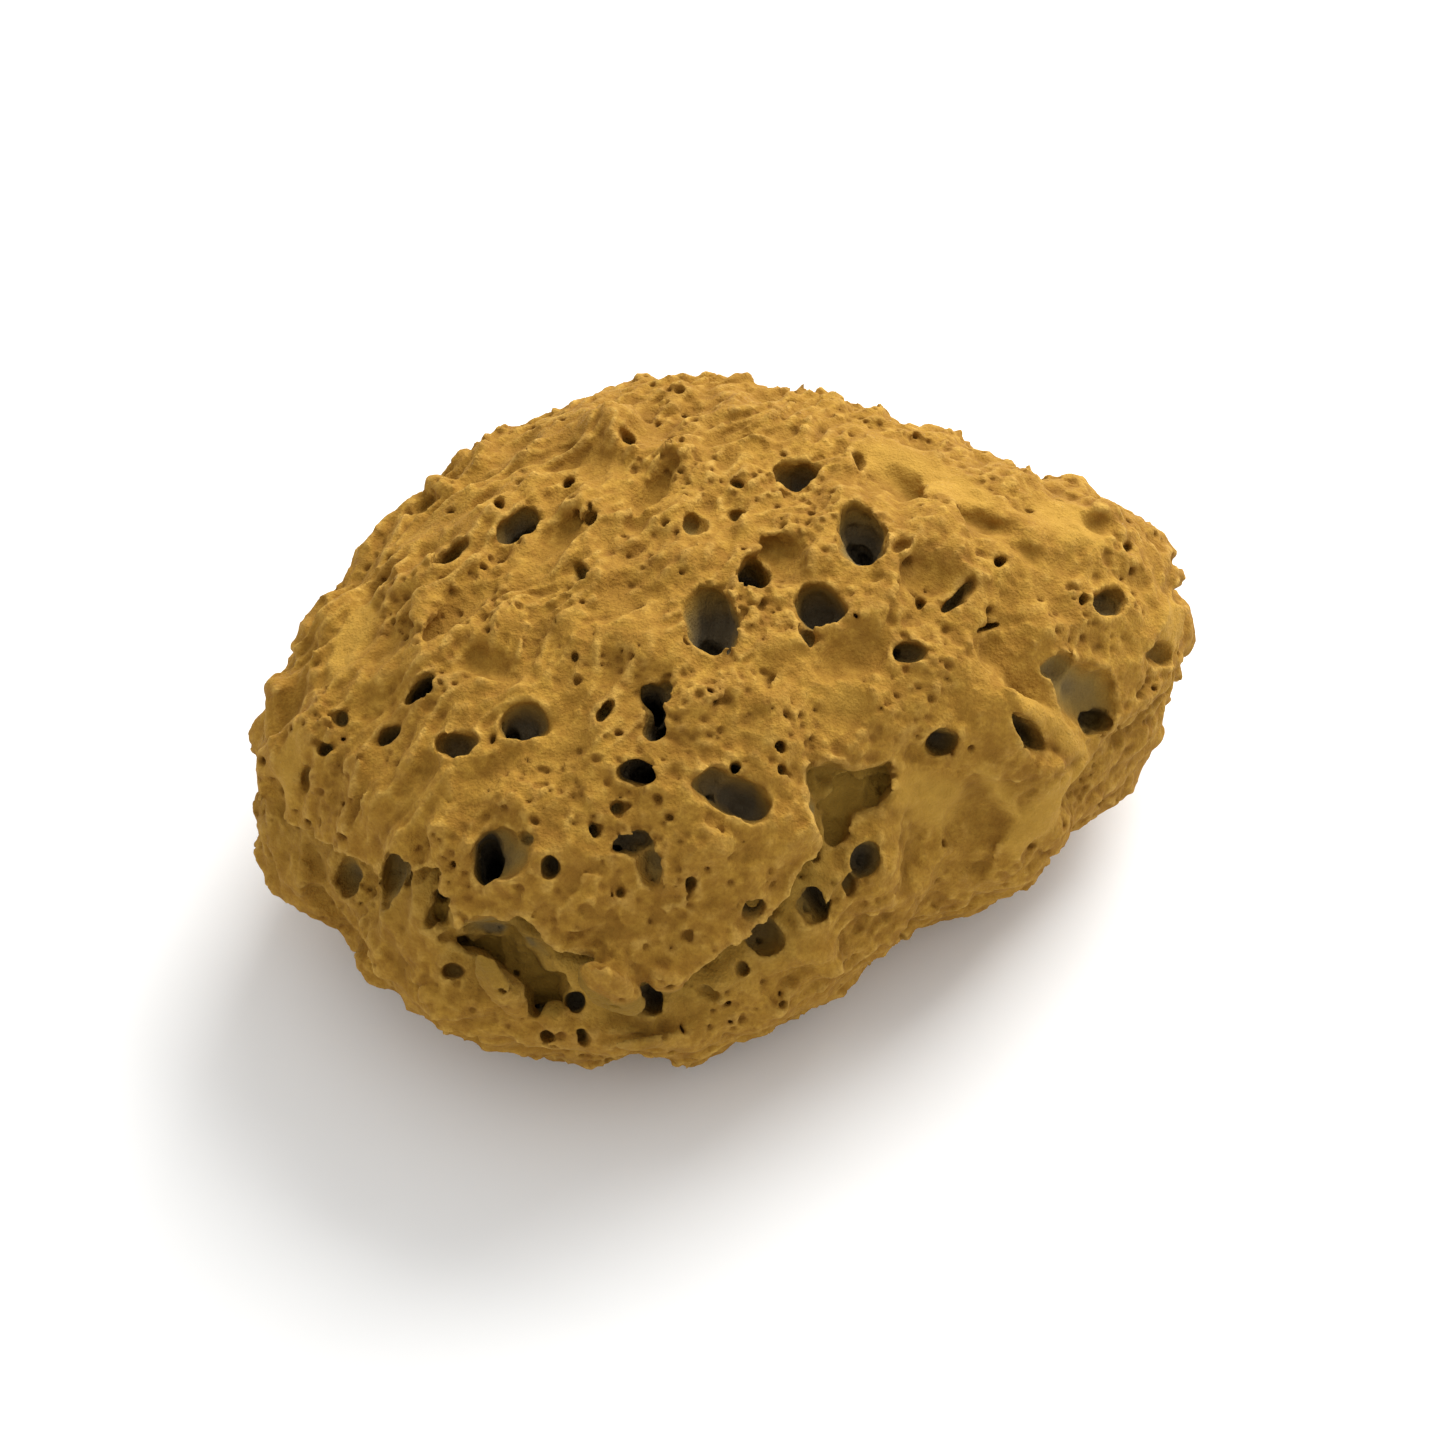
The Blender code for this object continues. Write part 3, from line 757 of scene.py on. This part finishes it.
# %% List the small holes
SMALL_HOLES = (
    (-34.5, 34, 2, 2, 0, 4), (-24, 37.5, 2.5, 2, 30, 6), (-20.5, 31.5, 2.5, 2.5, 0, 5),
    (-22.5, 24, 3, 3.5, 0, 6), (2.5, 32.5, 3, 2, 10, 3.5), (2.5, 37.5, 2.5, 1.5, -20, 3.5),
    (-14.5, 44.5, 2.5, 2, 0, 6), (-0.5, -12, 1.5, 1, 0, 10), (-19.5, -17.5, 2, 2.5, 0, 6),
    (-26.5, -23, 3, 3.5, 10, 7), (-4.5, -26, 2, 2.5, 0, 6), (-15.5, -27, 2, 2, 0, 3.5),
    (-16, -14, 3, 2.5, 0, 4), (9.5, -3.5, 1.5, 1.5, 0, 6), (10, -7.5, 2, 2, 0, 4),
    (57, 19, 1.5, 1.5, 0, 5), (31.5, 18.5, 2, 2, 0, 5), (44, 25, 2, 2, 0, 5),
    (3, -39, 2.5, 3, 0, 5), (-62, -4.5, 2.5, 2.5, 0, 5), (-59.5, 0.5, 2.5, 2.5, 0, 4),
    (-44, -28, 2, 3, 0, 7), (-42, -39.5, 4, 3, 0, 5), (-21.5, -49.5, 2, 3, 0, 4),
    (-27, -49.5, 2.5, 2, -30, 3.5), (64, 27.5, 1.5, 2, 0, 3.5), (2.5, -7.5, 2, 2, 0, 9),
    (-16, -19.5, 2, 1.5, 0, 11), (-36, -25, 2, 2, 0, 8), (-30.5, -18.5, 3, 2.5, 0, 4),
    (-9, 4.5, 2.5, 4, 0, 5), (28.5, 10.5, 3, 3, 0, 9), (-18, 1.5, 4, 2, 60, 6),
    (21, -26, 3, 4, 0, 5), (-50, -25, 2.5, 5.5, -10, 9), (-34.5, -33, 1.5, 2.5, 0, 12),
    (-7.5, 40.5, 3.5, 3, 30, 3), (-65, -9.5, 5.5, 2, 85, 3), (-45, -30.5, 4.5, 2, 80, 4),
    (-2, -43.5, 5.5, 2, -65, 4), (-52.5, 22.5, 4, 2.5, 35, 2.5), (-51.5, 14, 4.5, 3, 70, 2.5),
    (42, 14.5, 4, 1, 15, 4), (28.5, 27.5, 4, 2.5, 20, 3), (22, 40.5, 2, 4, 10, 3),
    (-14.5, 45, 3, 2, 0, 5), (-12.5, 34, 2, 3, -30, 3.5), (60, 19, 2.5, 1.5, 30, 4),
)
print(len(SMALL_HOLES), "small holes")

# %% Place them on the skin
pit_balls = [ball for ball in (on_skin(*pit) for pit in PITS.values()) if ball]
pit_balls += [at_outline(*notch) for notch in NOTCHES.values()]
proud_balls = [ball for ball in (on_skin(*knob) for knob in PROUD.values()) if ball]
proud_balls += [at_outline(*knob) for knob in OUTLINE_KNOBS.values()]
flap_balls = [on_skin(*flap) for flap in FLAPS.values()]
small_balls = [ball for ball in (on_skin(*hole) for hole in SMALL_HOLES) if ball]
dish_balls = [ball for ball in (on_skin(*dish) for dish in DISHES.values()) if ball]
print("placed", len(pit_balls), len(proud_balls), len(small_balls))

# %% [markdown]
# The sides that the camera doesn't see get pits of the same kinds, strewn by a seeded draw.

# %% Strew pits over the hidden sides
STREWN_SEED = 11
STREWN_COUNT = 74
STREWN_WIDTH = (3.6, 9.5)
STREWN_CLEAR = 2.6
STREWN_TRIES = 4000
BASE_CLEAR = 12.0
OUT_OF_SIGHT = -0.12


def strewn_balls():
    chance = random.Random(STREWN_SEED)
    middle = Vector((0.0, 0.0, WIDEST_LEVEL))
    kept, balls = [], []
    for _ in range(STREWN_TRIES):
        direction = Vector([chance.gauss(0, 1) for _ in range(3)]).normalized()
        width = chance.uniform(*STREWN_WIDTH)
        squash = chance.uniform(0.6, 1.0)
        turn = chance.uniform(0.0, 180.0)
        depth = width * chance.uniform(0.7, 1.5)
        lean = Vector([chance.uniform(-1, 1) for _ in range(3)]) * 0.35
        place, normal, _, _ = tree.ray_cast(middle + direction * 200.0, -direction)
        if normal.dot((eye - place).normalized()) > 0.25:
            continue
        if place.z < 1.0 and math.hypot(place.x, place.y) < BASE_CLEAR:
            continue
        if any((place - other).length < (width + wide) / 2 + STREWN_CLEAR for other, wide in kept):
            continue
        kept.append((place, width))
        one = normal.orthogonal().normalized()
        one, other = turned(one, normal.cross(one), turn)
        inward = (lean - normal).normalized()
        half = width / 2
        if normal.dot((eye - place).normalized()) < OUT_OF_SIGHT:
            balls.append(stretched_ball(place, one * half, other * half * squash, inward * depth))
        if len(kept) == STREWN_COUNT:
            break
    return balls


hidden_balls = strewn_balls()
print(len(hidden_balls), "pits strewn")

# %% [markdown]
# ## Carving
# For each ball only the small part of the grid around it is worked on. The distance to a
# stretched ball has no simple formula, but the ball's own measure divided by its slope is close
# enough near its skin. Edges are joined with a small rounding, so no hole has a knife edge.

# %% Add the knobs and cut the pits
LIP_RISE = 0.25
LIP_WIDTH = 1.1
KNOB_ROUNDING = 1.6
DISH_ROUNDING = 2.0

for centre, matrix in proud_balls + flap_balls:
    cuts = cuts_around(centre, matrix, 3.0)
    join(skin, ball_distance(centre, matrix, cuts), cuts, KNOB_ROUNDING)

for centre, matrix in dish_balls:
    cuts = cuts_around(centre, matrix, 4.0)
    carve(skin, ball_distance(centre, matrix, cuts, 0.6), cuts, DISH_ROUNDING)

pit_blocks = []
for centre, matrix in pit_balls + hidden_balls:
    cuts = cuts_around(centre, matrix, 3.0)
    distance = ball_distance(centre, matrix, cuts)
    skin[cuts] -= LIP_RISE * np.exp(-((distance / LIP_WIDTH) ** 2))
    pit_blocks.append((distance, cuts))

solid = skin.copy()
for distance, cuts in pit_blocks:
    carve(solid, distance, cuts)
for centre, matrix in small_balls:
    cuts = cuts_around(centre, matrix, 2.0)
    carve(solid, ball_distance(centre, matrix, cuts, 0.5), cuts, 0.35)
print("carved", len(pit_balls) + len(hidden_balls) + len(small_balls), "holes")

# %% [markdown]
# ## Pores
# The whole crust is pricked with fine pores about a millimetre wide. Their places are drawn from
# a first mesh of the carved block: one point is kept from each small cell of space, which spreads
# them evenly without rows. A second, sparser draw makes holes of two millimetres.

# %% Mesh a block of distances
FLATNESS = 0.05


def surface_of(block, adaptivity=0.0):
    """Points and triangles of the skin where a block of distances is zero."""
    grid = openvdb.FloatGrid(background=1.0)
    grid.copyFromArray(np.clip(block, -1.0, 1.0))
    points, triangles, quads = grid.convertToPolygons(isovalue=0.0, adaptivity=adaptivity)
    corner = np.array([axis[0] for axis in axes])
    faces = np.concatenate((triangles, quads[:, (0, 1, 2)], quads[:, (0, 2, 3)]))
    return points * GRID + corner, faces.astype(np.int64)


def vertex_normals(points, faces):
    """Smooth directions at the points, from the faces round them."""
    one, two, three = (points[faces[:, corner]] for corner in range(3))
    facing = np.cross(two - one, three - one)
    normals = np.zeros_like(points)
    for side in range(3):
        for corner in range(3):
            normals[:, side] += np.bincount(faces[:, corner], facing[:, side], len(points))
    return normals / np.maximum(np.linalg.norm(normals, axis=1), 1e-9)[:, None]


def read_block(block, points):
    """Values of a block between its grid points."""
    places = (points - np.array([axis[0] for axis in axes])) / GRID
    base = np.clip(np.floor(places).astype(int), 0, np.array(block.shape) - 2)
    part = (places - base).astype(np.float32)
    read = np.zeros(len(points), np.float32)
    for corner in range(8):
        shift = np.array([corner & 1, corner >> 1 & 1, corner >> 2 & 1])
        weight = np.prod(np.where(shift, part, 1.0 - part), axis=1)
        i, j, k = (base + shift).T
        read += weight * block[i, j, k]
    return read


def one_from_each_cell(points, cell, chance):
    """Numbers of random points that lie in different cells of space."""
    order = chance.permutation(len(points))
    cells = np.floor(points[order] / cell).astype(np.int64) + 1000
    keys = (cells[:, 0] * 4000 + cells[:, 1]) * 4000 + cells[:, 2]
    _, found = np.unique(keys, return_index=True)
    return np.sort(order[found])


rough_points, rough_faces = surface_of(solid)
rough_normals = vertex_normals(rough_points, rough_faces)
print(len(rough_points), "points,", len(rough_faces), "triangles")

# %% Prick the pores
PORE_SEED = 23
PORE_CELL, PORE_RADIUS, PORE_DEPTH = 1.7, (0.3, 0.65), (0.3, 0.9)
HOLE_CELL, HOLE_RADIUS, HOLE_DEPTH = 8.0, (0.45, 0.9), (0.8, 2.4)
PORE_PATCHES = 9.0

chance = np.random.default_rng(PORE_SEED)
patchy = read_waves(wave_lattice((PORE_PATCHES,) * 3, PORE_SEED))


def prick(cell, radii, depths, share, rounding):
    """Cuts small stretched balls into the skin at random places, more in some patches."""
    picked = one_from_each_cell(rough_points, cell, chance)
    likely = share + 0.7 * read_block(patchy, rough_points[picked])
    likely -= read_block(bare, rough_points[picked])
    picked = picked[chance.random(len(picked)) < likely]
    for number in picked:
        normal = Vector(rough_normals[number])
        lean = Vector(chance.uniform(-0.4, 0.4, 3))
        inward = (lean - normal).normalized()
        one = inward.orthogonal().normalized()
        one, other = turned(one, inward.cross(one), chance.uniform(0.0, 180.0))
        one *= chance.uniform(*radii)
        other *= one.length * chance.uniform(0.45, 1.0)
        inward *= chance.uniform(*depths)
        centre, matrix = stretched_ball(rough_points[number], one, other, inward)
        cuts = cuts_around(centre, matrix, 0.8)
        distance = ball_distance(centre, matrix, cuts, 0.0)
        carve(solid, distance, cuts, rounding)
        # Painted shade: darker colour in and around each pore.
        tint = np.clip(1.0 - distance / 0.45, 0.0, 1.0)
        pore_shade[cuts] = np.maximum(pore_shade[cuts], tint)
    return len(picked)


holes_made = prick(HOLE_CELL, HOLE_RADIUS, HOLE_DEPTH, 0.5, 0.3)
pores_made = prick(PORE_CELL, PORE_RADIUS, PORE_DEPTH, 0.0, 0.3)
print(holes_made, "holes and", pores_made, "pores")

# %% [markdown]
# ## Grain, and the flat cut
# A last, very fine relief roughens crust and pits alike. Then everything below the table's level
# is cut off flat, as the diver's knife left it.

# %% Roughen and cut flat
GRAIN_SEED = 71
GRAIN_RISE = 0.09


def fine_grain(seed):
    """A random number at each grid point, softened with its neighbours."""
    grain = np.random.default_rng(seed).standard_normal(solid.shape, dtype=np.float32)
    for side in range(3):
        for _ in range(2):
            grain[1:] += grain[:-1]
            grain[:-1] += grain[1:]
        grain = np.moveaxis(grain, 0, 2)
    return grain / grain.std()


solid -= GRAIN_RISE * fine_grain(GRAIN_SEED)
np.maximum(solid, -heights, out=solid)
points, faces = surface_of(solid, FLATNESS)
print(len(points), "points,", len(faces), "triangles")

# %% [markdown]
# ## One body
# Carving can cut crumbs loose. The faces are sorted into bodies by handing the lowest point
# number from neighbour to neighbour until nothing changes, and only the largest body is kept.

# %% Keep the largest body
def body_labels(count, faces):
    """For each point the lowest number of any point it hangs together with."""
    labels = np.arange(count)
    while True:
        lowest = labels[faces].min(axis=1)
        new = labels.copy()
        for corner in range(3):
            np.minimum.at(new, faces[:, corner], lowest)
        new = new[new]
        if np.array_equal(new, labels):
            return labels
        labels = new


labels = body_labels(len(points), faces)
names, sizes = np.unique(labels, return_counts=True)
keep = labels == names[sizes.argmax()]
numbers = np.cumsum(keep) - 1
faces = numbers[faces[keep[faces[:, 0]]]]
points = points[keep]
normals = vertex_normals(points, faces)
print(len(names) - 1, "crumbs dropped,", len(faces), "triangles left")

# %% [markdown]
# ## What the colours need to know
# Colour follows the shape, and most of it is painted light and shade: paler yellow where ridges stand out,
# orange-brown painted shade in the dimples and pores, grey and then a painted black shadow far down a canal.
# The mesh carries this as named values on its points: how deep a point lies below the uncarved skin, how
# much it stands proud of its surroundings, how near it is to a pore, and whether it lies on the older wall
# under the ledge, where shade is painted too.

# %% Measure depth, ridges, pores and wall
NEAR_BLUR, FAR_BLUR = 4, 12


def blurred(block, side):
    """The block averaged over cubes of this many points a side, and smoothly filled in again."""
    cut = [size // side * side for size in block.shape]
    cubes = block[: cut[0], : cut[1], : cut[2]].reshape(
        cut[0] // side, side, cut[1] // side, side, cut[2] // side, side
    ).mean(axis=(1, 3, 5))
    places = [(np.arange(size) - (side - 1) / 2) / side + 2.0 for size in block.shape]
    return spread(np.pad(cubes, (2, 3), mode="edge"), [curve_reading(place) for place in places])


values = {
    "depth": np.maximum(-read_block(skin, points), 0.0),
    "proud": read_block(blurred(np.clip(solid, -2.0, 2.0), NEAR_BLUR), points),
    "crest": read_block(blurred(np.clip(solid, -5.0, 5.0), FAR_BLUR), points),
    "pore_painted_shade": read_block(pore_shade, points),
    "wall_and_painted_shade": read_block(wall_and_painted_shade, points),
    "bare": read_block(bare, points),
}
for name, value in values.items():
    print(name, np.percentile(value, (1, 25, 50, 75, 99)).round(2))

# %% [markdown]
# ## Pieces
# A viewer or a printer copes better with meshes under 200,000 triangles, so the skin is divided
# by bearing into sectors. Each keeps the shading directions of the whole, so no seam shows.

# %% Build the sectors
SECTORS = ("right", "back_right", "back", "back_left", "left", "front_left", "front_right")


def build_sector(name, faces):
    used, local = np.unique(faces, return_inverse=True)
    mesh = bpy.data.meshes.new(name)
    mesh.vertices.add(len(used))
    mesh.vertices.foreach_set("co", (points[used] * MM).astype(np.float32).ravel())
    mesh.loops.add(faces.size)
    mesh.loops.foreach_set("vertex_index", local.astype(np.int32).ravel())
    mesh.polygons.add(len(faces))
    mesh.polygons.foreach_set("loop_start", np.arange(len(faces), dtype=np.int32) * 3)
    mesh.update(calc_edges=True)
    for title, value in values.items():
        layer = mesh.attributes.new(title, "FLOAT", "POINT")
        layer.data.foreach_set("value", value[used].astype(np.float32))
    mesh.normals_split_custom_set_from_vertices(normals[used])
    piece = bpy.data.objects.new(name, mesh)
    bpy.context.scene.collection.objects.link(piece)
    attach(piece, "root")
    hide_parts("sponge")
    return piece


centres = points[faces].mean(axis=1)
order = np.argsort(np.arctan2(centres[:, 1], centres[:, 0]) % (2.0 * math.pi), kind="stable")
pieces = [
    build_sector("sponge_" + name, faces[part])
    for name, part in zip(SECTORS, np.array_split(order, len(SECTORS)))
]
for piece in pieces:
    print(piece.name, len(piece.data.polygons), "triangles")

# %% [markdown]
# ## Finish
# Felted fibre has no gloss. Its colour comes from the values on the mesh, which paint shade into dips,
# pores, pits, canals and the wall under the ledge, with noise of three sizes laid over it; a fine bump
# stands for fibres thinner than the mesh can show.

# %% Dry sponge material
def sponge_material():
    material = bpy.data.materials.new("dried sponge felt")
    material.use_nodes = True
    nodes, links = material.node_tree.nodes, material.node_tree.links
    shader = nodes["Principled BSDF"]
    shader.inputs["Roughness"].default_value = 0.92
    shader.inputs["Specular IOR Level"].default_value = 0.15

    place = nodes.new("ShaderNodeTexCoord").outputs["Object"]

    def value_of(name):
        node = nodes.new("ShaderNodeAttribute")
        node.attribute_name = name
        return node.outputs["Fac"]

    def ramp(source, stops):
        node = nodes.new("ShaderNodeValToRGB")
        links.new(source, node.inputs["Fac"])
        band = node.color_ramp
        while len(band.elements) < len(stops):
            band.elements.new(1.0)
        for element, (spot, colour) in zip(band.elements, stops):
            element.position = spot
            element.color = (*colour, 1.0)
        return node.outputs["Color"]

    def span(source, low, high):
        node = nodes.new("ShaderNodeMapRange")
        links.new(source, node.inputs["Value"])
        node.inputs["From Min"].default_value = low
        node.inputs["From Max"].default_value = high
        return node.outputs["Result"]

    def mix(share, one, other):
        node = nodes.new("ShaderNodeMix")
        node.data_type = "RGBA"
        if isinstance(share, float):
            node.inputs["Factor"].default_value = share
        else:
            links.new(share, node.inputs["Factor"])
        for socket, colour in ((node.inputs[6], one), (node.inputs[7], other)):
            if isinstance(colour, tuple):
                socket.default_value = (*colour, 1.0)
            else:
                links.new(colour, socket)
        return node.outputs[2]

    def noise_of(scale, detail):
        node = nodes.new("ShaderNodeTexNoise")
        links.new(place, node.inputs["Vector"])
        node.inputs["Scale"].default_value = scale
        node.inputs["Detail"].default_value = detail
        return node.outputs["Fac"]

    # Painted light and shade: the crust colour is darker where the surface dips and paler where it stands
    # proud, as light and shade would fall there.
    crust_and_shade = ramp(
        span(value_of("proud"), -0.45, 0.4),
        (
            (0.0, (0.20, 0.088, 0.011)),
            (0.4, (0.33, 0.17, 0.022)),
            (0.65, (0.39, 0.212, 0.031)),
            (1.0, (0.52, 0.31, 0.065)),
        ),
    )
    crust_and_shade = mix(span(noise_of(60.0, 2.0), 0.35, 0.65), crust_and_shade, mix(0.35, crust_and_shade, (0.48, 0.27, 0.035)))
    crust_and_shade = mix(span(noise_of(420.0, 3.0), 0.62, 0.38), crust_and_shade, mix(0.45, crust_and_shade, (0.24, 0.105, 0.012)))
    crust_and_shade = mix(span(noise_of(1500.0, 2.0), 0.35, 0.65), mix(0.4, crust_and_shade, (0.2, 0.09, 0.01)), crust_and_shade)
    # Painted shade: broad hollows are darkened.
    crust_and_shade = mix(span(value_of("crest"), 0.1, -1.6), crust_and_shade, mix(0.6, crust_and_shade, (0.2, 0.1, 0.012)))
    # Painted shade: darker orange-brown in the dimples and pores.
    crust_and_shade = mix(span(value_of("pore_painted_shade"), 0.2, 1.9), crust_and_shade, (0.17, 0.07, 0.01))
    # The wall under the ledge keeps its own olive tone, darkened further as painted shade under the
    # overhang.
    with_wall_shade = mix(value_of("wall_and_painted_shade"), crust_and_shade, mix(0.75, crust_and_shade, (0.21, 0.122, 0.016)))
    smooth = mix(span(value_of("bare"), 0.0, 2.0), with_wall_shade, (0.47, 0.27, 0.042))
    # Painted shade inside the pits: olive-brown a little way down, then grey further down.
    pit_wall_shade = mix(span(value_of("depth"), 1.2, 3.4), smooth, (0.24, 0.15, 0.035))
    deep = mix(span(value_of("depth"), 3.2, 6.5), pit_wall_shade, (0.12, 0.095, 0.055))
    # Painted shadow: near black far down the canals.
    black = mix(span(value_of("depth"), 8.0, 12.0), deep, (0.006, 0.0055, 0.005))
    links.new(black, shader.inputs["Base Color"])

    bump = nodes.new("ShaderNodeBump")
    bump.inputs["Strength"].default_value = 0.8
    bump.inputs["Distance"].default_value = 0.0004
    links.new(noise_of(2300.0, 3.0), bump.inputs["Height"])
    links.new(bump.outputs["Normal"], shader.inputs["Normal"])
    return material


felt = sponge_material()
for piece in pieces:
    piece.data.materials.append(felt)
print("material on", len(pieces), "pieces")

# %% [markdown]
# ## Stage
# A pale floor, a soft light from above and behind the left shoulder, and a bright even sky.

# %% Floor and light
def add_floor():
    bpy.ops.mesh.primitive_plane_add(size=6.0, location=(0.0, 0.0, -0.0002))
    floor = bpy.context.object
    floor.name = "floor"
    material = bpy.data.materials.new("pale floor")
    material.use_nodes = True
    shader = material.node_tree.nodes["Principled BSDF"]
    shader.inputs["Base Color"].default_value = (0.9, 0.9, 0.89, 1.0)
    shader.inputs["Roughness"].default_value = 0.9
    floor.data.materials.append(material)


def add_area_light(name, place, size, power):
    lamp = bpy.data.lights.new(name, "AREA")
    lamp.size = size
    lamp.energy = power
    thing = bpy.data.objects.new(name, lamp)
    thing.location = place
    thing.rotation_euler = (-Vector(place)).to_track_quat("-Z", "Y").to_euler()
    bpy.context.scene.collection.objects.link(thing)


add_floor()
add_area_light("key light", (0.40, 0.70, 0.66), 0.8, 17.0)
world = bpy.data.worlds.new("studio")
world.use_nodes = True
world.node_tree.nodes["Background"].inputs["Color"].default_value = (1.0, 1.0, 1.0, 1.0)
world.node_tree.nodes["Background"].inputs["Strength"].default_value = 0.84
bpy.context.scene.world = world
bpy.context.scene.view_settings.view_transform = "Standard"
print("stage set")
